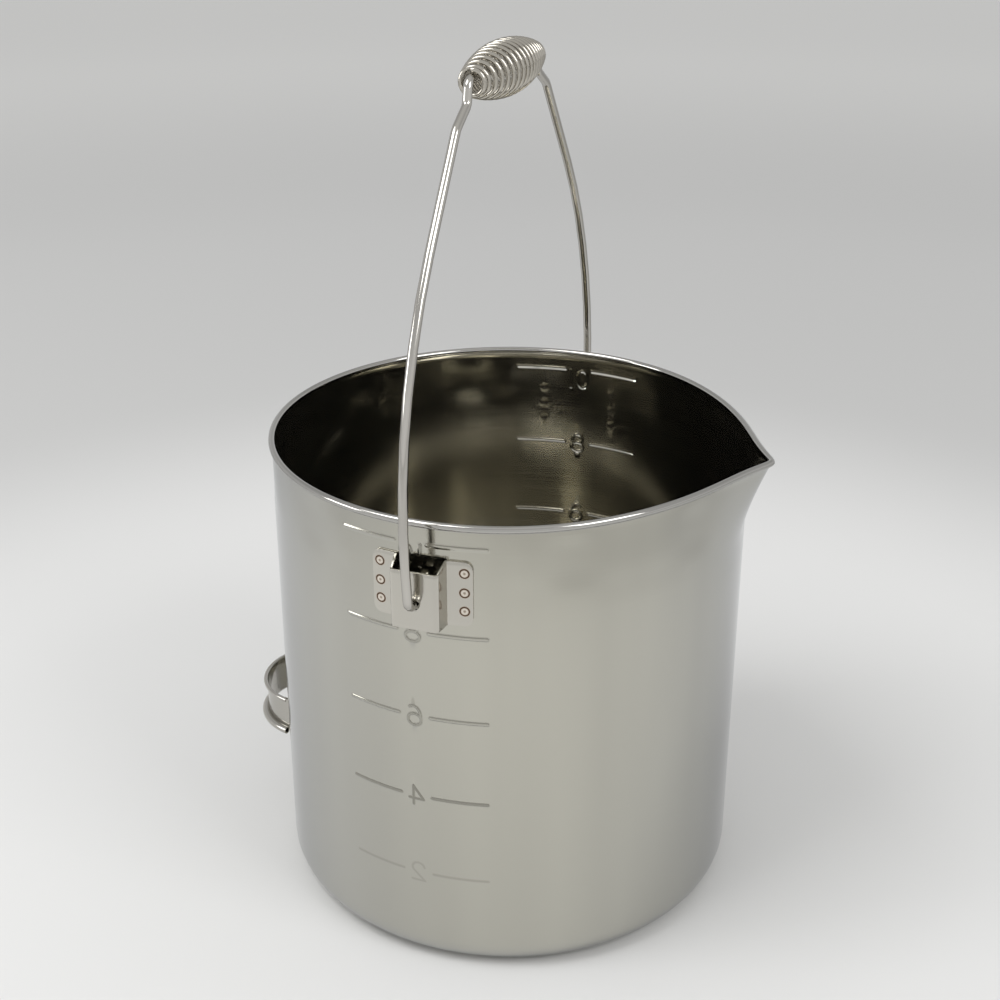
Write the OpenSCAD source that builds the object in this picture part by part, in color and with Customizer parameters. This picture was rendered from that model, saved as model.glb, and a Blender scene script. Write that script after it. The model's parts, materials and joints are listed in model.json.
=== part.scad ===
// Candle melting pot: a deep sheet-metal pot with a pouring spout, two welded ears,
// a wire bail with a coil-spring grip, and a strap handle low on the back for tilting.
// Millimetres. +Z up, the base stands on z = 0, the spout points to +X,
// the ears are at -Y and +Y, the tilt handle is at -X.

/* [Pot] */
// outside radius of the wall
pot_r = 120; // [110:1:130]
// height of the top of the curled rim
pot_h = 245.5; // [235:0.5:255]
// thickness of the drawn sheet
sheet = 0.8; // [0.7:0.1:1.0]
// outside radius of the bottom corner
corner_r = 14.5; // [10:0.5:18]
// radius of the curled rim's section
rim_r = 1.7; // [1.5:0.1:1.9]

/* [Spout] */
// how far the lip stands out past the rim
lip_out = 13.2; // [9:0.2:14]
// half width of the lip, in degrees round the pot
lip_w = 8.5; // [7:0.5:11]
// height of the wall that the spout is drawn from
lip_h = 45; // [35:1:50]
// how far the rim is pulled in on either side of the lip
rim_dip = 2.4; // [0:0.2:3]

/* [Ears] */
// overall width of an ear, across both flanges
ear_w = 48; // [44:0.5:50]
// height of an ear
ear_h = 32; // [30:0.5:34]
// height of an ear's lower edge above the base
ear_z = 196; // [190:1:200]
// width of the raised web
web_w = 23; // [22.5:0.5:24]
// how far the web's face stands off the wall
web_out = 10; // [9.5:0.5:11]
// thickness of the ear's sheet
ear_t = 1.2; // [1.0:0.1:1.4]
// diameter of the pivot hole
pivot_d = 5.6; // [5.2:0.1:6]
// height of the pivot above the ear's lower edge
pivot_up = 12.8; // [12:0.2:14]

/* [Bail] */
// diameter of the bail's wire
wire_d = 4.4; // [4.0:0.1:4.6]
// length of the turned-up end inside an ear
hook_leg = 4.9; // [3:0.1:5]
// radius of the bow's lower curve
bow_r = 194; // [185:1:205]
// how far the standing bail leans back from upright, in degrees
lean = 1; // [0:0.5:3]

/* [Grip] */
// length of the coil grip
grip_l = 86; // [78:1:86]
// outside diameter in the middle
grip_d = 26; // [24:0.5:28]
// outside diameter at the ends
grip_end_d = 13.2; // [13:0.1:14]
// diameter of the coil's wire
coil_d = 2.3; // [2.0:0.1:2.4]
// number of open turns
coil_turns = 15; // [12:1:15]

/* [Tilt handle] */
// outside radius of the strap's bow
tilt_r = 31.3; // [30:0.1:34]
// how far the strap stands off the wall
tilt_out = 25; // [24:0.5:28]
// height of the strap's upper edge
tilt_top = 77; // [70:1:90]
// height of the strap
tilt_h = 20.5; // [18:0.5:24]
// thickness of the strap
tilt_t = 1.0; // [0.9:0.1:1.2]
// diameter of the hollow curl along the lower edge
tilt_curl_d = 4.2; // [3.8:0.1:4.6]

/* [Hidden] */
$fn = 64;
steel = [0.72, 0.71, 0.69];
wire_col = [0.66, 0.65, 0.62];
weld_col = [0.62, 0.56, 0.47];
gap = 0.05;
join_z = pot_h - lip_h;
rim_c = pot_r - sheet / 2;
rim_z = pot_h - rim_r;
ring_n = 132;
ring_levels = 6;
bead_pts = 9;
ear_in = pot_r + gap;
web_y = pot_r + web_out;
pivot_z = ear_z + pivot_up;
leg_y = pot_r + (web_out - ear_t) / 2 + 0.1;
in_r = 4.6;
out_r = 5.5;
weld_r = 2;
weld_arc = 20.2;
weld_up = [7.6, 16.8, 26.5];
tilt_c = pot_r + tilt_out - tilt_r;
tilt_cr = tilt_curl_d / 2;
tilt_cz = tilt_top - tilt_h;
foot_a0 = 14.85;
foot_a1 = 21.5;
foot_weld_a = 18.4;
hem_r = 1.2;
curl_in = 0.3;
coil_seg = 22;
coil_sides = 8;
end_turns = 1.0;

// ---- pot shell ----

// Azimuth of station i: close together at the spout, wider apart towards the back.
function ring_az(i) = let (u = 2 * i / ring_n - 1)
    180 * sign(u) * (0.4 * abs(u) + 0.6 * u * u);

// Share of the lip at azimuth a, 1 at the tip.
function lip_share(a) = let (s = sqrt(a * a + 1) - 1) exp(-pow(s / lip_w, 1.05));

// Share of the pulled-in rim at azimuth a.
function dip_share(a) = exp(-pow((abs(a) - 38) / 26, 2));

// How far the drawn part has grown at height z, 0 at the joint and 1 at the rim.
function rise(z) = pow(min(1, max(0, (z - join_z) / (rim_z - join_z))), 1.5);

// Radius of the sheet's middle at azimuth a and height z.
function wall_mid(a, z) = rim_c
    + rise(z) * (lip_out * lip_share(a) - rim_dip * dip_share(a));

function level_z(k) = join_z - 3 + (rim_z - 1.6 - join_z + 3) * k / (ring_levels - 1);

// One section of the ring: up the outer face, round the curl, down the inner face.
function section(a) = concat(
    [for (k = [0 : ring_levels - 1])
        [wall_mid(a, level_z(k)) + sheet / 2 - 0.05, level_z(k)]],
    [for (j = [0 : bead_pts - 1]) let (t = -62 + j * 304 / (bead_pts - 1))
        [wall_mid(a, rim_z) + rim_r * cos(t), rim_z + rim_r * sin(t)]],
    [for (k = [ring_levels - 1 : -1 : 0])
        [wall_mid(a, level_z(k)) - sheet / 2 + 0.12, level_z(k)]]);

module upper_ring() {
    m = 2 * ring_levels + bead_pts;
    pts = [for (i = [0 : ring_n - 1]) let (a = ring_az(i)) for (p = section(a))
        [p[0] * cos(a), p[0] * sin(a), p[1]]];
    tri = [for (i = [0 : ring_n - 1]) for (j = [0 : m - 1])
        let (i2 = (i + 1) % ring_n, j2 = (j + 1) % m)
        for (t = [[i * m + j, i * m + j2, i2 * m + j2], [i * m + j, i2 * m + j2, i2 * m + j]])
            t];
    polyhedron(points = pts, faces = tri, convexity = 6);
}

module lower_body() {
    rotate_extrude($fn = 128)
        difference() {
            union() {
                translate([0, corner_r])
                    square([pot_r, join_z - corner_r]);
                square([pot_r - corner_r, corner_r + 1]);
                translate([pot_r - corner_r, corner_r])
                    intersection() {
                        circle(r = corner_r, $fn = 96);
                        translate([0, -corner_r])
                            square(corner_r);
                    }
            }
            translate([0, corner_r])
                square([pot_r - sheet, join_z]);
            translate([0, sheet])
                square([pot_r - corner_r, corner_r]);
            translate([pot_r - corner_r, corner_r])
                intersection() {
                    circle(r = corner_r - sheet, $fn = 96);
                    translate([0, -corner_r])
                        square([corner_r, corner_r + 1]);
                }
        }
}

module pot_shell() {
    color(steel)
        union() {
            lower_body();
            upper_ring();
        }
}

// ---- ears, drawn for the one at +Y ----

// Plan of the bent sheet: flanges on the wall, slanted sides, flat web.
module ear_plan() {
    top = web_w / 2;
    foot = top + 1.1;
    cut = 1;
    difference() {
        union() {
            // web and sides, solid, with the two bends bevelled
            polygon([[-foot, pot_r - 3], [foot, pot_r - 3], [top, web_y - cut],
                [top - cut, web_y], [-top + cut, web_y], [-top, web_y - cut]]);
            // flanges
            intersection() {
                circle(r = ear_in + ear_t, $fn = 256);
                translate([-ear_w / 2 - 1, pot_r - 6])
                    square([ear_w + 2, 12]);
            }
        }
        polygon([[-foot + ear_t, pot_r - 9], [foot - ear_t, pot_r - 9],
            [top - ear_t, web_y - ear_t], [-top + ear_t, web_y - ear_t]]);
        circle(r = ear_in, $fn = 256);
    }
}

// Front view of the ear: a rectangle with rounded outer corners.
module ear_front() {
    r = 4;
    square([ear_w - 2 * r, ear_h], center = true);
    square([ear_w, ear_h - 2 * r], center = true);
    for (x = [-1, 1])
        for (y = [-1, 1])
            translate([x * (ear_w / 2 - r), y * (ear_h / 2 - r)])
                circle(r = r);
}

module ear() {
    color(steel)
        difference() {
            intersection() {
                translate([0, 0, ear_z])
                    linear_extrude(ear_h)
                        ear_plan();
                translate([0, web_y + 5, ear_z + ear_h / 2])
                    rotate([90, 0, 0])
                        linear_extrude(30)
                            ear_front();
            }
            // the upper edge falls from the flanges to the web
            translate([-web_w, 0, 0])
                rotate([90, 0, 90])
                    linear_extrude(2 * web_w)
                        polygon([[ear_in + 1.6, ear_z + ear_h + 1], [ear_in + 2.6, ear_z + ear_h - 0.4],
                            [web_y - 4, ear_z + ear_h - 2.9], [web_y - 2, ear_z + ear_h - 3.4],
                            [web_y + 6, ear_z + ear_h - 3.4], [web_y + 6, ear_z + ear_h + 1]]);
            // pivot hole
            translate([0, web_y + 5, pivot_z])
                rotate([90, 0, 0])
                    cylinder(h = 10, d = pivot_d);
        }
}

module ear_welds() {
    a = weld_arc / pot_r * 180 / PI;
    color(weld_col)
        for (s = [-1, 1])
            for (z = weld_up)
                rotate([0, 0, 90 + s * a])
                    translate([pot_r - sheet + 0.1, 0, ear_z + z])
                        rotate([0, 90, 0])
                            cylinder(h = sheet + ear_t + gap, r = weld_r, $fn = 32);
}

module ear_right() {
    ear();
}

module ear_left() {
    rotate([0, 0, 180])
        ear();
}

module ear_welds_right() {
    ear_welds();
}

module ear_welds_left() {
    rotate([0, 0, 180])
        ear_welds();
}

// ---- bail ----

// Half of the bail from the middle of the top to the end inside the ear.
// ["line", length] or ["arc", radius, turn]: a positive turn bends downwards.
half_path = [
    ["arc", 5, 75],
    ["line", 5],
    ["arc", 5, -45],
    ["line", 11],
    ["arc", 12, 22.5],
    ["line", 56],
    ["arc", bow_r, 41.5],
    ["line", 13],
    ["arc", out_r, 86],
    ["line", 1.7],
    ["arc", in_r, 90],
    ["line", hook_leg]];

// Heading, in degrees below the +Y direction, before step i.
function heading(i) = i == 0 ? 0
    : heading(i - 1) + (half_path[i - 1][0] == "arc" ? half_path[i - 1][2] : 0);

// Step i as [dy, dz].
function step(i) = let (h = heading(i), s = half_path[i])
    s[0] == "line" ? [s[1] * cos(h), -s[1] * sin(h)]
    : let (k = sign(s[2]), e = h + s[2])
        [k * s[1] * (sin(e) - sin(h)), k * s[1] * (cos(e) - cos(h))];

function sum_to(i) = i == 0 ? [0, 0] : sum_to(i - 1) + step(i - 1);

n_steps = len(half_path);
pin_step = n_steps - 3;
top_half = leg_y - sum_to(n_steps)[0];
top_z = pivot_z - sum_to(pin_step)[1];

// A ball a hair fatter than the wire stands at each joint between two steps, and the steps
// stop just short of its centre, so that no two steps end on the same face.
joint_fat = 0.05;
joint_cut = 0.1;

module half_bail() {
    r = wire_d / 2;
    for (i = [0 : n_steps - 1]) {
        s = half_path[i];
        p = sum_to(i);
        last = i == n_steps - 1;
        translate([0, top_half + p[0], top_z + p[1]])
            rotate([-heading(i), 0, 0]) {
                sphere(r = r + joint_fat);
                if (s[0] == "line")
                    translate([0, joint_cut, 0])
                        rotate([-90, 0, 0])
                            cylinder(h = s[1] - (last ? 1 : 2) * joint_cut, r = r);
                else
                    bend(s[1], s[2], r);
            }
    }
}

// A bend that starts at the origin along +Y and turns down for a positive angle.
module bend(br, turn, r) {
    k = sign(turn);
    cut = joint_cut / br * 180 / PI;
    translate([0, 0, -k * br])
        rotate([0, 90, 0])
            rotate([0, 0, (k > 0 ? 180 - abs(turn) : 0) + cut])
                rotate_extrude(angle = abs(turn) - 2 * cut, $fn = 128)
                    translate([br, 0])
                        circle(r = r, $fn = 48);
}

// The bail and its grip lean about the pivot.
module leaning() {
    translate([0, 0, pivot_z])
        rotate([0, -lean, 0])
            translate([0, 0, -pivot_z])
                children();
}

module bail_wire() {
    color(wire_col)
        leaning() union() {
            translate([0, joint_cut - top_half, top_z])
                rotate([-90, 0, 0])
                    cylinder(h = 2 * (top_half - joint_cut), d = wire_d);
            half_bail();
            rotate([0, 0, 180])
                half_bail();
        }
}

// ---- grip ----

grip_off = grip_end_d / 2 - coil_d - wire_d / 2 - 0.35;
grip_z = top_z - grip_off;
coil_all = coil_turns + 2 * end_turns;
end_pitch = coil_d + 0.2;
open_pitch = (grip_l - coil_d - 2 * end_turns * end_pitch) / coil_turns;

// Distance along the grip after t turns: the first and last turn lie closed.
function coil_y(t) = t < end_turns ? t * end_pitch
    : t > coil_all - end_turns ? grip_l - coil_d - (coil_all - t) * end_pitch
    : end_turns * end_pitch + (t - end_turns) * open_pitch;

// Radius of the coil's centre line: a barrel.
function coil_r(y) = let (u = 2 * y / (grip_l - coil_d) - 1)
    (grip_end_d - coil_d) / 2 + (grip_d - grip_end_d) / 2 * pow(cos(90 * u), 0.9);

module grip_coil() {
    n = round(coil_all * coil_seg);
    m = coil_sides;
    rings = [for (i = [0 : n]) let (t = coil_all * i / n, a = 360 * t, y = coil_y(t),
        c = coil_r(max(0.001, min(grip_l - coil_d - 0.001, y))))
        for (j = [0 : m - 1]) let (b = 360 * j / m, q = c + coil_d / 2 * cos(b))
            [q * sin(a), y - (grip_l - coil_d) / 2 + coil_d / 2 * sin(b), q * cos(a)]];
    skin = [for (i = [0 : n - 1]) for (j = [0 : m - 1]) let (j2 = (j + 1) % m)
        for (f = [[i * m + j, (i + 1) * m + j2, i * m + j2],
                [i * m + j, (i + 1) * m + j, (i + 1) * m + j2]])
            f];
    caps = [for (j = [1 : m - 2]) for (f = [[0, j, j + 1], [n * m, n * m + j + 1, n * m + j]]) f];
    color(wire_col)
        leaning() translate([0, 0, grip_z])
            polyhedron(points = rings, faces = concat(skin, caps), convexity = 10);
}

// ---- tilt handle ----

module tilt_plan() {
    difference() {
        union() {
            translate([tilt_c, 0])
                difference() {
                    circle(r = tilt_r, $fn = 128);
                    circle(r = tilt_r - tilt_t, $fn = 128);
                }
            intersection() {
                difference() {
                    circle(r = pot_r + gap + tilt_t, $fn = 256);
                    circle(r = pot_r + gap, $fn = 256);
                }
                for (s = [-1, 1])
                    polygon([[0, 0], 200 * [cos(foot_a0), s * sin(foot_a0)],
                        200 * [cos(foot_a1), s * sin(foot_a1)]]);
            }
        }
        circle(r = pot_r + gap, $fn = 256);
    }
}

// A rod bent round the strap's bow, from -half to +half degrees.
module curl(centre_r, z, r, bore, half) {
    translate([tilt_c, 0, z])
        rotate([0, 0, -half])
            rotate_extrude(angle = 2 * half, $fn = 128)
                translate([centre_r, 0])
                    difference() {
                        circle(r = r, $fn = 32);
                        if (bore > 0)
                            circle(r = bore, $fn = 32);
                    }
}

module tilt_handle() {
    color(steel)
        rotate([0, 0, 180])
            union() {
                translate([0, 0, tilt_cz])
                    linear_extrude(tilt_h - hem_r)
                        tilt_plan();
                curl(tilt_r - tilt_t + tilt_cr + curl_in, tilt_cz, tilt_cr, tilt_cr - 0.8, 78);
                curl(tilt_r - tilt_t + hem_r + curl_in, tilt_top - hem_r, hem_r, 0, 84);
            }
}

module tilt_handle_welds() {
    color(weld_col)
        for (s = [-1, 1])
            for (z = [5.5, 14])
                rotate([0, 0, 180 + s * foot_weld_a])
                    translate([pot_r - sheet + 0.1, 0, tilt_cz + z])
                        rotate([0, 90, 0])
                            cylinder(h = sheet + tilt_t + gap, r = weld_r, $fn = 32);
}

pot_shell();
ear_left();
ear_right();
ear_welds_left();
ear_welds_right();
bail_wire();
grip_coil();
tilt_handle();
tilt_handle_welds();
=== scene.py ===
"""Looks of the candle melting pot: a drawn steel pot with a spout, two welded ears,
a wire bail with a coil grip, and a strap handle low on the back.

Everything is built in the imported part's own frame: +Z up, base on z = 0, spout to +X,
ears at -Y and +Y, tilt handle at -X. Sizes are in millimetres and become metres in one
place, add_piece().
"""

import json
import math

import bpy
import numpy as np
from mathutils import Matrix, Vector


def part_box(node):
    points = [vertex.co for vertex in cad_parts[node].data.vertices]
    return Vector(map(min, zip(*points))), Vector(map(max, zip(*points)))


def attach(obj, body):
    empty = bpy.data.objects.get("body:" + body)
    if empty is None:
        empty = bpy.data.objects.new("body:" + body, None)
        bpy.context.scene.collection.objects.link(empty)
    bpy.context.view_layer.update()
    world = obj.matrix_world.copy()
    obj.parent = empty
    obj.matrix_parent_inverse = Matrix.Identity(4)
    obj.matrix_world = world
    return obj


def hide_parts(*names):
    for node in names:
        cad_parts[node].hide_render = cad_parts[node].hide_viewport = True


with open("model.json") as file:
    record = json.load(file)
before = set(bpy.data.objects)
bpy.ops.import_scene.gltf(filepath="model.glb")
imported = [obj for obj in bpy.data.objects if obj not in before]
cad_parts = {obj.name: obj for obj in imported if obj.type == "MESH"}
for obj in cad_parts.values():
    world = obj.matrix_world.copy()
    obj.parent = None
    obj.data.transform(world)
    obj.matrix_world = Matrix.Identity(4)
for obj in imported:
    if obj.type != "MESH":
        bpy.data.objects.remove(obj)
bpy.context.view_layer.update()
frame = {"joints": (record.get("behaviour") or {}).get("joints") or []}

MM = 0.001

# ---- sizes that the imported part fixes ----


def node_box(node):
    """Lowest and highest corner of a CAD node, in millimetres."""
    low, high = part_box(node)
    return [c / MM for c in low], [c / MM for c in high]


POT_TOP = node_box("pot_shell")[1][2]
EAR_LOW, EAR_HIGH = node_box("ear_right")
COIL_LOW, COIL_HIGH = node_box("grip_coil")
TILT_HIGH = node_box("tilt_handle")[1]
JOINT_AT = {j["name"]: [c / MM for c in j["pos_m"]] for j in frame["joints"]}
PIVOT = JOINT_AT["bail_swing"]

POT_R = 120.0
SHEET = 0.8
CORNER_R = 14.5
BEAD_R = 1.7
RIM_Z = POT_TOP - BEAD_R
MID_R = POT_R - SHEET / 2

# ---- spout ----

LIP_OUT, LIP_WIDTH, LIP_POWER = 13.2, 8.5, 1.05
LIP_HEIGHT, LIP_RISE = 45.0, 1.5
DIP, DIP_AT, DIP_WIDTH = 2.4, 38.0, 26.0
JOIN_Z = POT_TOP - LIP_HEIGHT

# waves left under the rim by the drawing: size, and how far down they reach
WAVE, WAVE_REACH = 0.30, 34.0

# ---- graduations: each is a pair of lines with a number between them ----

MARK_STEP, MARK_FIRST = 45.0, 54.0
MARK_NUMBERS = ["2", "4", "6", "8", "10"]
MARK_DEPTH = [0.05, 0.36, 0.46, 0.48, 0.48]
LINE_FROM, LINE_TO, LINE_HALF = 8.0, 35.4, 1.0
DIGIT_HALF = 0.85
TEN_DROP = 5.6
# half the width of the widest number, with its stroke
DIGITS_WIDE = 6.3
COLUMNS = [-92.5, 90.0]
EAR_AZIMUTHS = [-90.0, 90.0]

# ---- welds ----

WELD_ARC = 20.2
WELD_UP = [7.6, 16.8, 26.5]
WELD_R = 2.65
FOOT_WELD_AZ, FOOT_WELD_UP = 18.4, [5.5, 14.0]

# ---- ears ----

EAR_Z = EAR_LOW[2]
EAR_H = EAR_HIGH[2] - EAR_LOW[2]
EAR_W = EAR_HIGH[0] - EAR_LOW[0]
EAR_T = 1.2
EAR_IN = POT_R + 0.05
WEB_W, WEB_Y = 23.0, EAR_HIGH[1]
WEB_SLANT = 1.1
WEB_DROP = 3.4
EAR_CORNER = 4.0
PIVOT_D = 5.6

# ---- bail ----

WIRE_D = 4.4
LEG_Y = 124.5
BAIL_HALF = [
    ("arc", 5, 75),
    ("line", 5),
    ("arc", 5, -45),
    ("line", 11),
    ("arc", 12, 22.5),
    ("line", 56),
    ("arc", 194, 41.5),
    ("line", 13),
    ("arc", 5.5, 86),
    ("line", 1.7),
    ("arc", 4.6, 90),
    ("line", 4.9),
]
# degrees that the standing bail leans back from upright, towards -X
LEAN = 1.0

# ---- grip ----

COIL_D = 2.3
COIL_L = COIL_HIGH[1] - COIL_LOW[1]
COIL_MID_D, COIL_END_D = 26.0, 13.2
OPEN_TURNS, CLOSED_TURNS = 15, 1.0
# height of the grip's axis before the bail is leaned back
COIL_Z = PIVOT[2] + math.hypot(
    JOINT_AT["grip_spin"][0] - PIVOT[0], JOINT_AT["grip_spin"][2] - PIVOT[2]
)

# ---- tilt handle ----

BOW_R, BOW_OUT, STRAP_T = 31.3, 25.0, 1.0
BOW_AT = POT_R + BOW_OUT - BOW_R
CURL_R, HEM_R = 2.1, 1.2
CURL_Z = 56.5
HEM_Z = TILT_HIGH[2] - HEM_R
ROLL_OUT = 0.3
FOOT_END = 21.5

# ---- mesh helpers ----


def add_piece(name, points, faces, materials, body, replaced, sharp=38, tags=None):
    """A smooth mesh piece from points in millimetres, riding on a body."""
    mesh = bpy.data.meshes.new(name)
    mesh.from_pydata((np.asarray(points, float) * MM).tolist(), [], faces)
    mesh.update()
    mesh.shade_smooth()
    mesh.set_sharp_from_angle(angle=math.radians(sharp))
    for material in materials:
        mesh.materials.append(material)
    for tag, values in (tags or {}).items():
        mesh.attributes.new(tag, "FLOAT", "POINT").data.foreach_set(
            "value", np.asarray(values, np.float32)
        )
    piece = bpy.data.objects.new(name, mesh)
    bpy.context.scene.collection.objects.link(piece)
    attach(piece, body)
    if replaced:
        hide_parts(replaced)
    return piece


def sweep(frames, sections, capped=True):
    """Points and faces of a closed section carried along frames.

    A frame is (origin, p axis, q axis); sections is one [(p, q), ...] for every frame,
    in anticlockwise order seen against the direction of travel p x q.
    """
    points = []
    for (origin, p_axis, q_axis), section in zip(frames, sections):
        for p, q in section:
            points.append(
                [o + p * a + q * b for o, a, b in zip(origin, p_axis, q_axis)]
            )
    n, m = len(frames), len(sections[0])
    faces = [
        (i * m + j, i * m + (j + 1) % m, (i + 1) * m + (j + 1) % m, (i + 1) * m + j)
        for i in range(n - 1)
        for j in range(m)
    ]
    if capped:
        faces.append(tuple(range(m - 1, -1, -1)))
        faces.append(tuple((n - 1) * m + j for j in range(m)))
    return points, faces


def circle(radius, sides):
    """A circle as (p, q) points, anticlockwise."""
    return [
        (radius * math.cos(math.tau * k / sides), radius * math.sin(math.tau * k / sides))
        for k in range(sides)
    ]


def smooth_step(x):
    x = np.clip(x, 0.0, 1.0)
    return x * x * (3 - 2 * x)


def turned(points, degrees):
    """Points turned about Z."""
    c, s = math.cos(math.radians(degrees)), math.sin(math.radians(degrees))
    return [(x * c - y * s, x * s + y * c, z) for x, y, z in points]


def leaned(points):
    """Points turned about the bail's pivot, from upright to the standing lean."""
    c, s = math.cos(math.radians(LEAN)), math.sin(math.radians(LEAN))
    return [
        (x * c - (z - PIVOT[2]) * s, y, PIVOT[2] + x * s + (z - PIVOT[2]) * c)
        for x, y, z in points
    ]


def joined(parts):
    """Several (points, faces) as one."""
    points, faces = [], []
    for more, their in parts:
        base = len(points)
        points += [tuple(p) for p in more]
        faces += [tuple(base + k for k in f) for f in their]
    return points, faces


def rounded(line, radii, steps=5):
    """A 2-D polyline with its inner corners replaced by arcs; radii is {corner: radius}."""
    out = []
    for k, here in enumerate(line):
        if k not in radii:
            out.append(tuple(here))
            continue
        p, a, b = Vector(here), Vector(line[k - 1]), Vector(line[k + 1])
        u, v = (a - p).normalized(), (b - p).normalized()
        half = u.angle(v) / 2
        back = radii[k] / math.tan(half)
        centre = p + (u + v).normalized() * radii[k] / math.sin(half)
        start, end = p + u * back - centre, p + v * back - centre
        turn = start.angle_signed(end)
        for i in range(steps + 1):
            t = -turn * i / steps
            c, s = math.cos(t), math.sin(t)
            out.append(
                (
                    centre.x + start.x * c - start.y * s,
                    centre.y + start.x * s + start.y * c,
                )
            )
    return out


def normals_of(line):
    """Unit normals, to the left of travel, at each point of a 2-D polyline."""
    found = []
    for k in range(len(line)):
        a, b = line[max(k - 1, 0)], line[min(k + 1, len(line) - 1)]
        dx, dy = b[0] - a[0], b[1] - a[1]
        size = math.hypot(dx, dy)
        found.append((-dy / size, dx / size))
    return found


# ---- materials ----


def blended(tree, share, base, colour):
    """base mixed towards a fixed colour by share."""
    mix = tree.nodes.new("ShaderNodeMix")
    mix.data_type = "RGBA"
    mix.inputs[7].default_value = (*colour, 1)
    tree.links.new(share, mix.inputs[0])
    tree.links.new(base, mix.inputs[6])
    return mix.outputs[2]


def steel(
    name,
    colour,
    rough,
    brush,
    bump=0.02,
    mottle=0.06,
    anisotropic=0.0,
    along="Z",
    cloud=(9.0, 9.0, 14.0),
    edge=None,
    groove=0.0,
):
    """Satin stainless steel.

    brush is the grain's frequency along X, Y and Z in cycles per metre; low numbers give
    long scratches along that axis. mottle is how far the tone drifts over the surface,
    and cloud is the frequency of that drift. edge is painted shade and reflection: the
    colour the sheet fades to where it turns away from the eye. groove is how far the mesh's
    own "groove" value darkens it, as painted shade on the sloped sides of the marks.
    """
    material = bpy.data.materials.new(name)
    material.use_nodes = True
    tree = material.node_tree
    shader = tree.nodes["Principled BSDF"]
    shader.inputs["Metallic"].default_value = 1.0
    shader.inputs["Anisotropic"].default_value = anisotropic
    place = tree.nodes.new("ShaderNodeTexCoord")
    if anisotropic:
        tangent = tree.nodes.new("ShaderNodeTangent")
        tangent.direction_type, tangent.axis = "RADIAL", along
        tree.links.new(tangent.outputs["Tangent"], shader.inputs["Tangent"])

    def noise(scale, detail):
        mapping = tree.nodes.new("ShaderNodeMapping")
        mapping.inputs["Scale"].default_value = scale
        texture = tree.nodes.new("ShaderNodeTexNoise")
        texture.inputs["Scale"].default_value = 1.0
        texture.inputs["Detail"].default_value = detail
        tree.links.new(place.outputs["Object"], mapping.inputs["Vector"])
        tree.links.new(mapping.outputs["Vector"], texture.inputs["Vector"])
        return texture.outputs["Fac"]

    def spread(source, low, high):
        node = tree.nodes.new("ShaderNodeMapRange")
        node.inputs["From Min"].default_value = 0.3
        node.inputs["From Max"].default_value = 0.7
        node.inputs["To Min"].default_value = low
        node.inputs["To Max"].default_value = high
        tree.links.new(source, node.inputs["Value"])
        return node.outputs["Result"]

    grain, clouds = noise(brush, 3.0), noise(cloud, 2.0)
    tree.links.new(spread(grain, rough * 0.82, rough * 1.22), shader.inputs["Roughness"])
    tone = tree.nodes.new("ShaderNodeMix")
    tone.data_type = "RGBA"
    tone.inputs[6].default_value = (*[c * (1 - mottle) for c in colour], 1)
    tone.inputs[7].default_value = (*[min(1, c * (1 + mottle)) for c in colour], 1)
    tree.links.new(spread(clouds, 0.0, 1.0), tone.inputs[0])
    shade = tone.outputs[2]
    # painted shade and reflection: the colour darkens towards the silhouette, where the
    # sheet turns away from the eye
    if edge:
        facing = tree.nodes.new("ShaderNodeLayerWeight")
        facing.inputs["Blend"].default_value = 0.28
        shade = blended(tree, facing.outputs["Facing"], shade, edge)
    # painted shade on the sloped sides of the pressed marks, read from the mesh's "groove"
    # value
    if groove:
        groove_shade_share = tree.nodes.new("ShaderNodeAttribute")
        groove_shade_share.attribute_name = "groove"
        dark = [c * (1 - groove) for c in colour]
        shade = blended(tree, groove_shade_share.outputs["Fac"], shade, dark)
    tree.links.new(shade, shader.inputs["Base Color"])
    relief = tree.nodes.new("ShaderNodeBump")
    relief.inputs["Strength"].default_value = bump
    relief.inputs["Distance"].default_value = 0.0004
    tree.links.new(grain, relief.inputs["Height"])
    tree.links.new(relief.outputs["Normal"], shader.inputs["Normal"])
    return material


def fill_ramp(ramp, stops):
    """Sets a colour ramp's stops from [(place, colour), ...]."""
    while len(ramp.color_ramp.elements) < len(stops):
        ramp.color_ramp.elements.new(0.5)
    for element, (at, colour) in zip(ramp.color_ramp.elements, stops):
        element.position, element.color = at, (*colour, 1)


def weld_steel(name):
    """A spot weld: bright button, dark heat ring, set by the mesh's own tint."""
    material = steel(name, (0.70, 0.66, 0.60), 0.28, (900, 900, 900), 0.05)
    tree = material.node_tree
    shader = tree.nodes["Principled BSDF"]
    tint = tree.nodes.new("ShaderNodeAttribute")
    tint.attribute_name = "tint"
    ramp = tree.nodes.new("ShaderNodeValToRGB")
    stops = [
        (0.0, (0.78, 0.72, 0.64)),
        (0.35, (0.46, 0.40, 0.33)),
        (0.7, (0.16, 0.10, 0.065)),
        (1.0, (0.060, 0.034, 0.022)),
    ]
    fill_ramp(ramp, stops)
    tree.links.new(tint.outputs["Fac"], ramp.inputs["Fac"])
    tree.links.new(ramp.outputs["Color"], shader.inputs["Base Color"])
    return material


# the outer wall's edge colour is a painted reflection: bluish grey where the wall turns away
# from the eye
OUTSIDE = steel(
    "pot_outside",
    (0.525, 0.51, 0.442),
    0.115,
    (14, 14, 1500),
    0.02,
    0.07,
    0.2,
    cloud=(20.0, 20.0, 1.4),
    edge=(0.33, 0.345, 0.385),
    # painted shade on the sloped sides of the marks
    groove=0.50,
)
INSIDE = steel(
    "pot_inside",
    (0.60, 0.583, 0.525),
    0.11,
    (14, 14, 1300),
    0.02,
    0.08,
    0.2,
    cloud=(24.0, 24.0, 2.0),
    # painted shade on the sloped sides of the marks
    groove=0.45,
)
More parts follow.
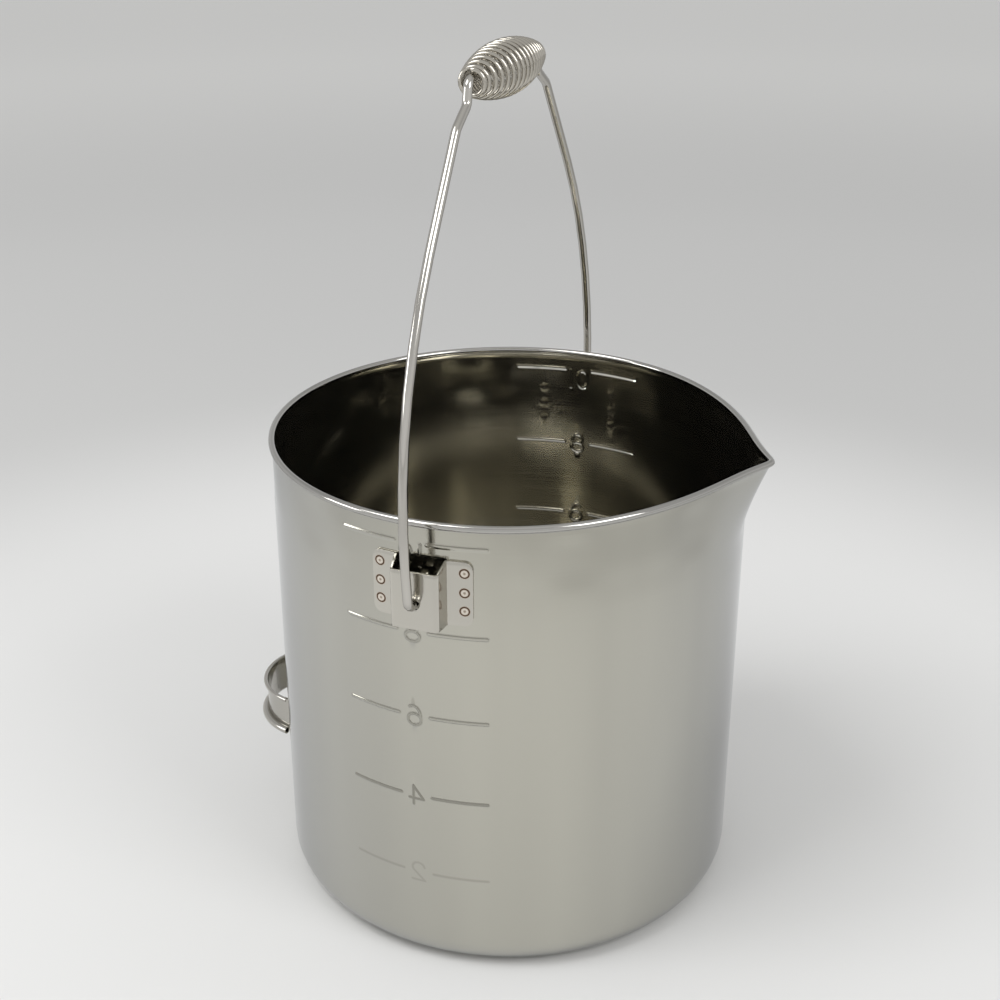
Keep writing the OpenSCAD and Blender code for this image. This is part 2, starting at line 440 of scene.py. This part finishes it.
# painted shade: the dark tone a thin wire fades to where it turns away from the eye
WIRE_GRAZING_SHADE = (0.10, 0.092, 0.08)
# the rim's edge colour is painted shade: the bead darkens to it where it turns away from the
# eye
RIM = steel(
    "pot_rim", (0.50, 0.49, 0.465), 0.08, (30, 30, 900), 0.02, 0.03, edge=(0.20, 0.20, 0.195)
)
EAR_STEEL = steel("ear_sheet", (0.55, 0.53, 0.48), 0.13, (1400, 1400, 40), 0.04, 0.05)
STRAP_STEEL = steel("strap_sheet", (0.47, 0.455, 0.42), 0.13, (60, 60, 1400), 0.05, 0.05)
WIRE_STEEL = steel(
    "drawn_wire", (0.60, 0.58, 0.54), 0.10, (1500, 60, 60), 0.06, 0.05, edge=WIRE_GRAZING_SHADE
)
COIL_STEEL = steel(
    "coil_wire", (0.56, 0.53, 0.47), 0.09, (400, 400, 400), 0.05, 0.06, edge=WIRE_GRAZING_SHADE
)
WELD_STEEL = weld_steel("spot_weld")

# ---- pot shell ----


def wall_mid(azimuth, z):
    """Radius of the sheet's middle; azimuth in degrees from the spout. Arrays broadcast."""
    off = np.abs((azimuth + 180.0) % 360.0 - 180.0)
    lip = np.exp(-(((np.sqrt(off * off + 1) - 1) / LIP_WIDTH) ** LIP_POWER))
    dip = np.exp(-(((off - DIP_AT) / DIP_WIDTH) ** 2))
    rise = np.clip((z - JOIN_Z) / (RIM_Z - JOIN_Z), 0, 1) ** LIP_RISE
    under = smooth_step((z - RIM_Z + WAVE_REACH) / 14) * smooth_step((RIM_Z - z) / 12)
    wave = np.sin(np.radians(off * 11)) + 0.6 * np.sin(np.radians(off * 23 + 40))
    # the wall stays true beside the ears, so that their flanges lie on it
    away = smooth_step((np.abs(off - 90) - 13) / 9)
    return MID_R + rise * (LIP_OUT * lip - DIP * dip) + WAVE * under * away * wave


def arc_line(cx, cz, rx, rz, start, end, steps=18):
    """An elliptical arc as a polyline, angles in degrees."""
    angles = [math.radians(start + (end - start) * k / steps) for k in range(steps + 1)]
    return [(cx + rx * math.cos(t), cz + rz * math.sin(t)) for t in angles]


def digit_lines(text):
    """Strokes of a number as polylines, centred on (0, 0), as read from inside the pot."""
    return {
        "2": [arc_line(0, 2.2, 3.2, 3.0, 170, -35) + [(-3.4, -5.2), (3.5, -5.2)]],
        "4": [[(1.6, -5.2), (1.6, 5.2), (-3.7, -1.9), (3.8, -1.9)]],
        "6": [
            arc_line(0, -2.1, 3.4, 3.1, 0, 360),
            arc_line(0.6, -1.6, 4.0, 6.8, 180, 62),
        ],
        "8": [
            arc_line(0, 2.55, 3.0, 2.6, 0, 360),
            arc_line(0, -2.6, 3.6, 2.7, 0, 360),
        ],
        "10": [[(-4.6, -5.2), (-4.6, 5.2)], arc_line(2.4, 0, 2.9, 5.2, 0, 360)],
    }[text]


def stroke_distance(u, z, line):
    """Distance from every (u, z) to a polyline."""
    best = np.full(u.shape, 1e9)
    for (ax, az), (bx, bz) in zip(line, line[1:]):
        dx, dz = bx - ax, bz - az
        t = np.clip(((u - ax) * dx + (z - az) * dz) / (dx * dx + dz * dz), 0, 1)
        best = np.minimum(best, np.hypot(u - ax - t * dx, z - az - t * dz))
    return best


def pressed(distance, half, depth):
    """A groove with sloped sides: depth inside the stroke, fading out at half."""
    return depth * smooth_step((half - distance) / (half * 0.6))


def mark_relief(azimuth, z):
    """How far the graduations push the wall outwards."""
    relief = np.zeros(np.broadcast(azimuth, z).shape)
    for column in COLUMNS:
        u = -np.radians((azimuth - column + 180) % 360 - 180) * POT_R
        u, zz = np.broadcast_arrays(u, z)
        near = np.abs(u) < LINE_TO + 3
        for number, (text, depth) in enumerate(zip(MARK_NUMBERS, MARK_DEPTH)):
            line_z = MARK_FIRST + MARK_STEP * number
            pick = near & (np.abs(zz - line_z) < 14)
            if not pick.any():
                continue
            pu, pz = u[pick], zz[pick] - line_z
            found = np.zeros(pu.shape)
            for side in (-1, 1):
                ends = [(side * LINE_FROM, 0.0), (side * LINE_TO, 0.0)]
                found = np.maximum(
                    found, pressed(stroke_distance(pu, pz, ends), LINE_HALF, depth)
                )
            drop = TEN_DROP if text == "10" else 0.0
            for line in digit_lines(text):
                found = np.maximum(
                    found,
                    pressed(
                        stroke_distance(pu, pz + drop, line), DIGIT_HALF, depth * 0.9
                    ),
                )
            relief[pick] = np.maximum(relief[pick], found)
    return relief


def weld_relief(azimuth, z):
    """The pits that the ears' spot welds leave on the inside of the wall."""
    pit, pit_r, slope = 0.20, 1.9, 1.1
    lip, lip_r, lip_w = 0.07, 2.3, 0.45
    relief = np.zeros(np.broadcast(azimuth, z).shape)
    for column in EAR_AZIMUTHS:
        arc = np.radians((azimuth - column + 180) % 360 - 180) * POT_R
        for side in (-1, 1):
            for up in WELD_UP:
                r = np.hypot(arc - side * WELD_ARC, z - EAR_Z - up)
                relief += pit * smooth_step((pit_r - r) / slope)
                relief -= lip * np.exp(-(((r - lip_r) / lip_w) ** 2))
    return relief


def spaced(start, end, step):
    """Evenly spaced values from start to end, about step apart."""
    count = max(1, round(abs(end - start) / step))
    return [start + (end - start) * k / count for k in range(count + 1)]


def thinned(values, gap):
    """Sorted values with no two closer than gap."""
    kept = []
    for v in sorted(values):
        if not kept or v - kept[-1] >= gap:
            kept.append(v)
    return kept


def shell_stations():
    """[(azimuth, fine)], fine where the marks and the welds are."""
    fine = []
    for column, ear_at in zip(COLUMNS, EAR_AZIMUTHS):
        arcs = spaced(-DIGITS_WIDE, DIGITS_WIDE, 0.36)
        for side in (-1, 1):
            arcs += [side * a for a in spaced(6.8, 9.4, 0.45)]
            arcs += [side * a for a in spaced(10.5, 16.0, 2.2)]
            arcs += [side * a for a in spaced(25.0, 33.0, 2.6)]
            arcs += [side * a for a in spaced(34.0, 36.8, 0.45)]
        fine += [column + math.degrees(a / POT_R) for a in arcs]
        welds = [side * a for side in (-1, 1) for a in spaced(16.8, 23.6, 0.5)]
        fine += [ear_at + math.degrees(a / POT_R) for a in welds]
    fine = thinned(fine, 0.1)
    edge = math.degrees(36.8 / POT_R)
    coarse = spaced(-10, 10, 0.5) + spaced(-24, -11, 1) + spaced(11, 24, 1)
    coarse += spaced(26, 90 - edge - 1, 2.5) + spaced(-92.5 + edge + 1, -26, 2.5)
    coarse += spaced(90 + edge + 1.5, 267.5 - edge - 1.5, 2.5)
    stations = {round(a % 360, 4): True for a in fine}
    stations.update({round(a % 360, 4): False for a in coarse})
    return sorted(stations.items())


def shell_rows():
    """[(skin, height, fine)] up the wall, without the base, corner and rim."""
    coarse = thinned(
        spaced(CORNER_R, JOIN_Z, 7.5) + spaced(JOIN_Z + 3, RIM_Z - 1.9, 3.0), 1.0
    )
    fine = []
    for number, text in enumerate(MARK_NUMBERS):
        line_z = MARK_FIRST + MARK_STEP * number
        low = line_z - 6.1 - (TEN_DROP if text == "10" else 0)
        high = line_z + (1.5 if text == "10" else 6.1)
        fine += spaced(low, high, 0.38)
    for up in WELD_UP:
        fine += spaced(EAR_Z + up - 2.8, EAR_Z + up + 2.8, 0.5)
    rows = [(z, False) for z in coarse]
    rows += [(z, True) for z in thinned(fine, 0.3) if min(abs(z - c) for c in coarse) > 0.3]
    return sorted(rows)


def shell_section(azimuths):
    """Radii and heights [station, row], which rows are fine, and each row's material."""
    az = np.array(azimuths)[:, None]
    radius, height, fine, skin = [], [], [], []

    def row(r, z, is_fine, material):
        radius.append(np.broadcast_to(r, az.shape)[:, 0])
        height.append(np.broadcast_to(z, az.shape)[:, 0])
        fine.append(is_fine)
        skin.append(material)

    corner_at = POT_R - CORNER_R
    for r in (20.0, 45.0, 75.0, 95.0, corner_at):
        row(r, 0.0, False, 0)
    for t in range(-80, 0, 10):
        c, s = math.cos(math.radians(t)), math.sin(math.radians(t))
        row(corner_at + CORNER_R * c, CORNER_R * (1 + s), False, 0)
    walls = shell_rows()
    for z, is_fine in walls:
        out = wall_mid(az, z) + SHEET / 2 + mark_relief(az, np.array([[z]]))
        row(out, z, is_fine, 0)
    mid = wall_mid(az, RIM_Z)
    row(mid + SHEET / 2, RIM_Z - 1.3, False, 2)
    row(mid + SHEET / 2 + 0.06, RIM_Z - 0.7, False, 2)
    for t in np.linspace(-52, 236, 22):
        c, s = math.cos(math.radians(t)), math.sin(math.radians(t))
        row(mid + BEAD_R * c, RIM_Z + BEAD_R * s, False, 2)
    for z, is_fine in reversed(walls):
        relief = mark_relief(az, np.array([[z]])) + weld_relief(az, np.array([[z]]))
        row(wall_mid(az, z) - SHEET / 2 + relief, z, is_fine, 1)
    inner = CORNER_R - SHEET
    for t in range(-10, -90, -10):
        c, s = math.cos(math.radians(t)), math.sin(math.radians(t))
        row(corner_at + inner * c, CORNER_R + inner * s, False, 1)
    for r in (corner_at, 95.0, 75.0, 45.0, 20.0):
        row(r, SHEET, False, 1)
    return np.array(radius).T, np.array(height).T, fine, skin


def shell_mesh():
    """The drawn shell as one closed skin; fine rows exist only at fine stations."""
    stations = shell_stations()
    radius, height, fine_row, skin = shell_section([a for a, _ in stations])
    n, m = radius.shape
    az = np.radians([a for a, _ in stations])[:, None]
    x, y = radius * np.cos(az), radius * np.sin(az)
    index = np.full((n, m), -1)
    points = []
    for i, (_, fine) in enumerate(stations):
        for j in range(m):
            if fine or not fine_row[j]:
                index[i, j] = len(points)
                points.append((x[i, j], y[i, j], height[i, j]))
    coarse_rows = [j for j in range(m) if not fine_row[j]]
    all_rows = list(range(m))
    faces, slots = [], []
    for i in range(n):
        k = (i + 1) % n
        both_fine = stations[i][1] and stations[k][1]
        rows = all_rows if both_fine else coarse_rows
        for a, b in zip(rows, rows[1:]):
            right = range(b, a - 1, -1) if stations[k][1] and not both_fine else (b, a)
            left = range(a, b + 1) if stations[i][1] and not both_fine else (a, b)
            loop = [index[i, j] for j in reversed(list(left))]
            loop += [index[k, j] for j in reversed(list(right))]
            faces.append(tuple(int(v) for v in loop))
            slots.append(skin[b])
    for j, z in ((0, 0.0), (m - 1, SHEET)):
        centre = len(points)
        points.append((0.0, 0.0, z))
        for i in range(n):
            k = (i + 1) % n
            a, b = int(index[i, j]), int(index[k, j])
            faces.append((centre, b, a) if j == 0 else (centre, a, b))
            slots.append(skin[j])
    return points, faces, slots


def groove_shade_values(points):
    """1 on the sloped sides of the graduations, 0 on flat wall, for every point."""
    x, y, z = np.asarray(points, float).T
    wall = (np.hypot(x, y) > POT_R - 6) & (z > CORNER_R)
    depth = np.zeros(len(x))
    depth[wall] = mark_relief(np.degrees(np.arctan2(y[wall], x[wall])), z[wall])
    # painted shade: strongest halfway down each sloped side of the marks
    share = np.clip(depth / max(MARK_DEPTH), 0, 1)
    return np.clip(4 * share * (1 - share), 0, 1)


def pot_shell():
    points, faces, slots = shell_mesh()
    piece = add_piece(
        "pot_shell_drawn",
        points,
        faces,
        [OUTSIDE, INSIDE, RIM],
        "pot",
        "pot_shell",
        sharp=60,
        tags={"groove": groove_shade_values(points)},
    )
    piece.data.polygons.foreach_set("material_index", slots)


# ---- ears, built for the one at +Y ----


def ear_line():
    """Middle of the bent sheet in plan, from one flange's end to the other's."""
    mid = EAR_IN + EAR_T / 2
    foot = WEB_W / 2 + WEB_SLANT - EAR_T / 2
    top = WEB_W / 2 - EAR_T / 2
    web = WEB_Y - EAR_T / 2
    ends = spaced(EAR_W / 2, EAR_W / 2 - EAR_CORNER, 0.5) + spaced(
        EAR_W / 2 - EAR_CORNER - 1, foot + 2.6, 1.2
    )
    left = [(-x, math.sqrt(mid * mid - x * x)) for x in ends]
    corner = (-foot, math.sqrt(mid * mid - foot * foot))
    line = left + [corner, (-top, web)]
    radii = {len(line) - 2: 1.5, len(line) - 1: 1.5}
    across = spaced(-top + 3, top - 3, 1.5)
    line += [(x, web) for x in across]
    line += [(top, web), (foot, corner[1])]
    radii.update({len(line) - 2: 1.5, len(line) - 1: 1.5})
    line += [(-x, y) for x, y in reversed(left)]
    return rounded(line, radii)


def ear_span(x, y):
    """Lower and upper edge of the ear where its plan passes (x, y)."""
    cut = max(0.0, abs(x) - (EAR_W / 2 - EAR_CORNER))
    corner = EAR_CORNER - math.sqrt(max(0.0, EAR_CORNER**2 - cut * cut))
    share = float(smooth_step((y - EAR_IN - 1.6) / (WEB_Y - EAR_IN - 3.6)))
    return EAR_Z + corner, EAR_Z + EAR_H - corner - WEB_DROP * share


def bent_sheet(line, span, thickness, levels):
    """A sheet standing on a plan line, as points and faces of a closed solid."""
    normals = normals_of(line)
    n, m = len(line), levels + 1
    points = []
    for side in (1, -1):
        for (x, y), (nx, ny) in zip(line, normals):
            low, high = span(x, y)
            for j in range(m):
                off = side * thickness / 2
                z = low + (high - low) * j / levels
                points.append((x + nx * off, y + ny * off, z))
    back = n * m
    faces = []
    for i in range(n - 1):
        for j in range(levels):
            a, b, c, d = i * m + j, (i + 1) * m + j, (i + 1) * m + j + 1, i * m + j + 1
            faces.append((d, c, b, a))
            faces.append((back + a, back + b, back + c, back + d))
        faces.append((i * m, (i + 1) * m, back + (i + 1) * m, back + i * m))
        top = i * m + levels
        faces.append((back + top, back + top + m, top + m, top))
    for j in range(levels):
        faces.append((j, back + j, back + j + 1, j + 1))
        end = (n - 1) * m + j
        faces.append((end + 1, back + end + 1, back + end, end))
    return points, faces


def drill(piece, centre, axis_length, diameter):
    """Cuts a round hole along Y through a piece and softens its cut edges."""
    sides = 48
    ring = circle(diameter / 2, sides)
    frames = [
        ((centre[0], centre[1] + s * axis_length / 2, centre[2]), (1, 0, 0), (0, 0, 1))
        for s in (1, -1)
    ]
    points, faces = sweep(frames, [ring, ring])
    mesh = bpy.data.meshes.new("drill")
    mesh.from_pydata((np.asarray(points) * MM).tolist(), [], faces)
    tool = bpy.data.objects.new("drill", mesh)
    bpy.context.scene.collection.objects.link(tool)
    cut = piece.modifiers.new("hole", "BOOLEAN")
    cut.operation, cut.solver, cut.object = "DIFFERENCE", "EXACT", tool
    edge = piece.modifiers.new("edge", "BEVEL")
    edge.width, edge.segments = 0.34 * MM, 2
    edge.limit_method, edge.angle_limit = "ANGLE", math.radians(50)
    bpy.context.view_layer.update()
    graph = bpy.context.evaluated_depsgraph_get()
    made = bpy.data.meshes.new_from_object(piece.evaluated_get(graph))
    piece.modifiers.clear()
    piece.data = made
    made.shade_smooth()
    made.set_sharp_from_angle(angle=math.radians(38))
    bpy.data.objects.remove(tool)


def ear(name, node, turn):
    points, faces = bent_sheet(ear_line(), ear_span, EAR_T, 16)
    piece = add_piece(
        name,
        turned(points, turn),
        faces,
        [EAR_STEEL],
        "pot",
        node,
    )
    side = math.cos(math.radians(turn))
    drill(piece, (0, side * WEB_Y, PIVOT[2]), 8, PIVOT_D)
    return piece


# ---- welds ----

WELD_PROFILE = [
    # (radius as a share of WELD_R, height above the sheet, tint)
    (0.10, 0.10, 0.45),
    (0.20, 0.10, 0.35),
    (0.27, 0.04, 0.12),
    (0.40, 0.09, 0.0),
    (0.58, 0.10, 0.05),
    (0.68, 0.05, 0.55),
    (0.76, 0.025, 1.0),
    (0.86, 0.022, 0.9),
    (0.94, 0.020, 0.45),
    (1.00, 0.012, 0.2),
    (0.98, -0.30, 0.2),
]


def weld(azimuth, z, radius, sides=24):
    """One spot weld on a cylinder of that radius: points, faces and tints."""
    points, tints, faces = [], [], []

    def place(share, height, angle):
        r = share * WELD_R
        az = math.radians(azimuth) + r * math.cos(angle) / radius
        reach = radius + height
        return (
            reach * math.cos(az),
            reach * math.sin(az),
            z + r * math.sin(angle),
        )

    for share, height, tint in WELD_PROFILE:
        for k in range(sides):
            points.append(place(share, height, math.tau * k / sides))
            tints.append(tint)
    rings = len(WELD_PROFILE)
    for i in range(rings - 1):
        for k in range(sides):
            a, b = i * sides + k, i * sides + (k + 1) % sides
            faces.append((a, a + sides, b + sides, b))
    for ring, height, tint in ((0, 0.10, 0.55), (rings - 1, -0.30, 0.2)):
        centre = len(points)
        points.append(place(0.0, height, 0.0))
        tints.append(tint)
        for k in range(sides):
            a, b = ring * sides + k, ring * sides + (k + 1) % sides
            faces.append((centre, a, b) if ring == 0 else (centre, b, a))
    return points, faces, tints


def weld_group(name, node, places, radius):
    parts, tints = [], []
    for azimuth, z in places:
        points, faces, shades = weld(azimuth, z, radius)
        parts.append((points, faces))
        tints += shades
    points, faces = joined(parts)
    add_piece(
        name,
        points,
        faces,
        [WELD_STEEL],
        "pot",
        node,
        sharp=60,
        tags={"tint": tints},
    )


def ear_weld_places(azimuth):
    off = math.degrees(WELD_ARC / POT_R)
    return [(azimuth + s * off, EAR_Z + up) for s in (-1, 1) for up in WELD_UP]


# ---- bail ----


def bail_path():
    """[(y, z, heading)] down the +Y half, the middle of the top at heading 0."""
    y = z = heading = 0.0
    line = [(0.0, 0.0, 0.0)]
    pivot_at = None
    for number, step in enumerate(BAIL_HALF):
        if number == len(BAIL_HALF) - 3:
            pivot_at = z
        h = math.radians(heading)
        if step[0] == "line":
            y += step[1] * math.cos(h)
            z -= step[1] * math.sin(h)
            line.append((y, z, heading))
            continue
        _, radius, turn = step
        k = 1 if turn > 0 else -1
        count = max(3, round(abs(turn) / 6))
        for i in range(1, count + 1):
            e = h + math.radians(turn) * i / count
            line.append(
                (
                    y + k * radius * (math.sin(e) - math.sin(h)),
                    z + k * radius * (math.cos(e) - math.cos(h)),
                    math.degrees(e),
                )
            )
        y, z, heading = line[-1]
    half_top, top = LEG_Y - y, PIVOT[2] - pivot_at
    return [(py + half_top, pz + top, h) for py, pz, h in line]


def wire_sections(count, radius, sides):
    """Round sections with the first and last ones drawn in, so the ends look cut."""
    full, end = circle(radius, sides), circle(radius * 0.86, sides)
    return [end if i in (0, count - 1) else full for i in range(count)]


def bail():
    half = bail_path()
    up = [(-y, z, -h) for y, z, h in reversed(half)]
    line = up + half
    tip_heading = line[-1][2]
    chamfer = 0.35
    frames = []
    for y, z, h in line:
        t = math.radians(h)
        frames.append(((0, y, z), (1, 0, 0), (0, math.sin(t), math.cos(t))))

    def moved(frame_, distance, heading):
        (x, y, z), p, q = frame_
        t = math.radians(heading)
        return ((x, y + distance * math.cos(t), z - distance * math.sin(t)), p, q)

    frames.insert(1, moved(frames[0], chamfer, line[0][2]))
    frames.insert(len(frames) - 1, moved(frames[-1], -chamfer, tip_heading))
    sections = wire_sections(len(frames), WIRE_D / 2, 20)
    points, faces = sweep(frames, sections)
    faces = [tuple(reversed(f)) for f in faces]
    add_piece(
        "bail_wire_drawn", leaned(points), faces, [WIRE_STEEL], "bail", "bail_wire"
    )


# ---- grip ----


def coil_place(turn):
    """(distance along the grip, radius of the coil's centre line) after that many turns."""
    total = OPEN_TURNS + 2 * CLOSED_TURNS
    reach = COIL_L - COIL_D
    end_pitch = COIL_D + 0.2
    open_pitch = (reach - 2 * CLOSED_TURNS * end_pitch) / OPEN_TURNS
    if turn < CLOSED_TURNS:
        y = turn * end_pitch
    elif turn > total - CLOSED_TURNS:
        y = reach - (total - turn) * end_pitch
    else:
        y = CLOSED_TURNS * end_pitch + (turn - CLOSED_TURNS) * open_pitch
    u = min(0.9999, max(-0.9999, 2 * y / reach - 1))
    barrel = math.cos(math.pi / 2 * u) ** 0.9
    return y - reach / 2, (COIL_END_D - COIL_D + (COIL_MID_D - COIL_END_D) * barrel) / 2


def grip():
    total = OPEN_TURNS + 2 * CLOSED_TURNS
    per_turn = 40
    frames = []
    for i in range(round(total * per_turn) + 1):
        turn = i / per_turn
        y, radius = coil_place(turn)
        a = math.tau * turn
        out = (math.sin(a), 0.0, math.cos(a))
        frames.append(
            ((radius * out[0], y, COIL_Z + radius * out[2]), out, (0.0, 1.0, 0.0))
        )
    sections = wire_sections(len(frames), COIL_D / 2, 12)
    points, faces = sweep(frames, sections)
    add_piece(
        "grip_coil_wound", leaned(points), faces, [COIL_STEEL], "grip", "grip_coil"
    )


# ---- tilt handle, built at +X and turned to -X ----


def strap_section():
    """Section of the strap with its hem and its hollow curl, as (bow radius, height)."""
    mid = BOW_R - STRAP_T / 2
    half = 0.4
    hem_c, hem_r = BOW_R - STRAP_T + HEM_R + ROLL_OUT, HEM_R - half
    curl_c, curl_r = BOW_R - STRAP_T + CURL_R + ROLL_OUT, CURL_R - half
    hem = [
        (hem_c + hem_r * math.cos(t), HEM_Z + hem_r * math.sin(t))
        for t in np.radians(np.linspace(-50, 180, 10))
    ]
    curl = [
        (curl_c + curl_r * math.cos(t), CURL_Z + curl_r * math.sin(t))
        for t in np.radians(np.linspace(180, 500, 22))
    ]
    wall = [(mid - 0.1, z) for z in spaced(HEM_Z - 2.0, CURL_Z + 3.0, 4)]
    line = hem + wall + curl
    normals = normals_of(line)
    outer = [(p + n * half, q + k * half) for (p, q), (n, k) in zip(line, normals)]
    inner = [(p - n * half, q - k * half) for (p, q), (n, k) in zip(line, normals)]
    return outer + inner[::-1]


def foot_line():
    """Plan of one foot: the end of the bow, a bend, and the part along the wall."""
    mid, wall = BOW_R - STRAP_T / 2, POT_R + 0.05 + STRAP_T / 2
    x = (wall**2 - mid**2 + BOW_AT**2) / (2 * BOW_AT)
    corner = (x, math.sqrt(wall**2 - x * x))
    bow = [
        (BOW_AT + mid * math.cos(t), mid * math.sin(t))
        for t in np.radians([73, 74.5, 76])
    ]
    foot = [
        (wall * math.cos(t), wall * math.sin(t))
        for t in np.radians(
            spaced(16.6, FOOT_END - 1.9, 0.8) + spaced(FOOT_END - 1.7, FOOT_END, 0.2)
        )
    ]
    return rounded(bow + [corner] + foot, {len(bow): 1.4})


def foot_span(x, y):
    """The strap's edges on the foot, with the far corners rounded."""
    radius = 3.5
    end = POT_R * math.radians(FOOT_END)
    cut = max(0.0, POT_R * math.atan2(abs(y), x) - (end - radius))
    corner = radius - math.sqrt(max(0.0, radius**2 - min(cut, radius) ** 2))
    return CURL_Z + 1.2 + corner, HEM_Z + 0.6 - corner


def tilt_handle():
    section = strap_section()
    frames = []
    for phi in np.radians(spaced(-77, 77, 3)):
        out = (math.cos(phi), math.sin(phi), 0.0)
        frames.append(((BOW_AT, 0.0, 0.0), out, (0.0, 0.0, 1.0)))
    bow = sweep(frames, [section] * len(frames))
    side_points, side_faces = bent_sheet(foot_line(), foot_span, STRAP_T, 6)
    mirrored = [(x, -y, z) for x, y, z in side_points]
    points, faces = joined(
        [
            bow,
            (side_points, side_faces),
            (mirrored, [tuple(reversed(f)) for f in side_faces]),
        ]
    )
    add_piece(
        "tilt_handle_bent",
        turned(points, 180),
        faces,
        [STRAP_STEEL],
        "pot",
        "tilt_handle",
    )


# ---- stage: floor, light and camera ----

VIEW_TURN = 19.2
CAMERA_BACK, CAMERA_UP = 0.7319, 0.5399
CAMERA_PITCH, CAMERA_YAW = 24.68, -0.41
LENS = 56.17
# metres over which the floor's tone changes
FLOOR_REACH = 5.0


def camera():
    """The camera at the photograph's viewing angle."""
    data = bpy.data.cameras.new("camera")
    data.lens, data.sensor_width = LENS, 36.0
    data.clip_start, data.clip_end = 0.02, 50.0
    made = bpy.data.objects.new("camera", data)
    bpy.context.scene.collection.objects.link(made)
    turn = math.radians(VIEW_TURN)
    made.location = (CAMERA_BACK * math.sin(turn), -CAMERA_BACK * math.cos(turn), CAMERA_UP)
    made.rotation_euler = (
        math.radians(90 - CAMERA_PITCH),
        0.0,
        math.radians(VIEW_TURN - CAMERA_YAW),
    )
    bpy.context.scene.camera = made


def floor():
    """A wide pale floor: light near the object, greyer behind it, paler again far off."""
    rings, sides = [0.0, 0.15, 0.3, 0.5, 0.9, 1.6, 3.0, 8.0], 64
    points = [(0.0, 0.0, 0.0)]
    faces = []
    for r in rings[1:]:
        for k in range(sides):
            a = math.tau * k / sides
            points.append((r * math.cos(a), r * math.sin(a), 0.0))
    for k in range(sides):
        faces.append((0, 1 + k, 1 + (k + 1) % sides))
    for i in range(len(rings) - 2):
        for k in range(sides):
            a, b = 1 + i * sides + k, 1 + i * sides + (k + 1) % sides
            faces.append((a, a + sides, b + sides, b))
    mesh = bpy.data.meshes.new("floor")
    mesh.from_pydata(points, [], faces)
    made = bpy.data.objects.new("floor", mesh)
    bpy.context.scene.collection.objects.link(made)
    material = bpy.data.materials.new("floor_paper")
    material.use_nodes = True
    tree = material.node_tree
    shader = tree.nodes["Principled BSDF"]
    shader.inputs["Roughness"].default_value = 0.9
    place = tree.nodes.new("ShaderNodeTexCoord")
    length = tree.nodes.new("ShaderNodeVectorMath")
    length.operation = "LENGTH"
    ramp = tree.nodes.new("ShaderNodeValToRGB")
    stops = [
        (0.0, (0.72, 0.72, 0.715)),
        (0.08, (0.76, 0.76, 0.755)),
        (0.15, (0.58, 0.58, 0.575)),
        (0.28, (0.61, 0.61, 0.605)),
        (0.56, (0.78, 0.78, 0.77)),
        (1.0, (0.84, 0.84, 0.83)),
    ]
    fill_ramp(ramp, stops)
    ramp.color_ramp.interpolation = "EASE"
    tree.links.new(place.outputs["Object"], length.inputs[0])
    share = tree.nodes.new("ShaderNodeMath")
    share.operation = "DIVIDE"
    share.inputs[1].default_value = FLOOR_REACH
    tree.links.new(length.outputs["Value"], share.inputs[0])
    tree.links.new(share.outputs["Value"], ramp.inputs["Fac"])
    tree.links.new(ramp.outputs["Color"], shader.inputs["Base Color"])
    mesh.materials.append(material)


def lamp(name, place, size, power, colour=(1, 1, 1)):
    """A square soft light aimed at the pot."""
    data = bpy.data.lights.new(name, "AREA")
    data.size, data.energy, data.color = size, power, colour
    made = bpy.data.objects.new(name, data)
    bpy.context.scene.collection.objects.link(made)
    made.location = place
    aim = Vector((0, 0, 0.12)) - Vector(place)
    made.rotation_euler = aim.to_track_quat("-Z", "Y").to_euler()


def studio():
    world = bpy.data.worlds.new("studio")
    bpy.context.scene.world = world
    world.use_nodes = True
    tree = world.node_tree
    back = tree.nodes["Background"]
    back.inputs["Strength"].default_value = 0.86
    place = tree.nodes.new("ShaderNodeTexCoord")
    parts = tree.nodes.new("ShaderNodeSeparateXYZ")
    ramp = tree.nodes.new("ShaderNodeValToRGB")
    stops = [
        (0.0, (0.86, 0.86, 0.86)),
        (0.25, (0.86, 0.86, 0.86)),
        (0.6, (0.60, 0.60, 0.60)),
        (1.0, (0.82, 0.82, 0.81)),
    ]
    fill_ramp(ramp, stops)
    tree.links.new(place.outputs["Generated"], parts.inputs[0])
    tree.links.new(parts.outputs["Z"], ramp.inputs["Fac"])
    tree.links.new(ramp.outputs["Color"], back.inputs["Color"])
    lamp("key", (-0.9, -0.9, 2.2), 1.2, 21)
    lamp("fill", (1.6, -0.6, 1.5), 1.0, 12)
    lamp("strip", (-1.5, -0.9, 0.7), 0.6, 5)
    bpy.context.scene.view_settings.view_transform = "Standard"


camera()
floor()
studio()
pot_shell()
ear("ear_right_bent", "ear_right", 0)
ear("ear_left_bent", "ear_left", 180)
weld_group(
    "ear_welds_right_marks", "ear_welds_right", ear_weld_places(90), EAR_IN + EAR_T
)
weld_group(
    "ear_welds_left_marks", "ear_welds_left", ear_weld_places(-90), EAR_IN + EAR_T
)
bail()
grip()
tilt_handle()
weld_group(
    "tilt_handle_weld_marks",
    "tilt_handle_welds",
    [(180 + s * FOOT_WELD_AZ, CURL_Z + up) for s in (-1, 1) for up in FOOT_WELD_UP],
    POT_R + 0.05 + STRAP_T,
)
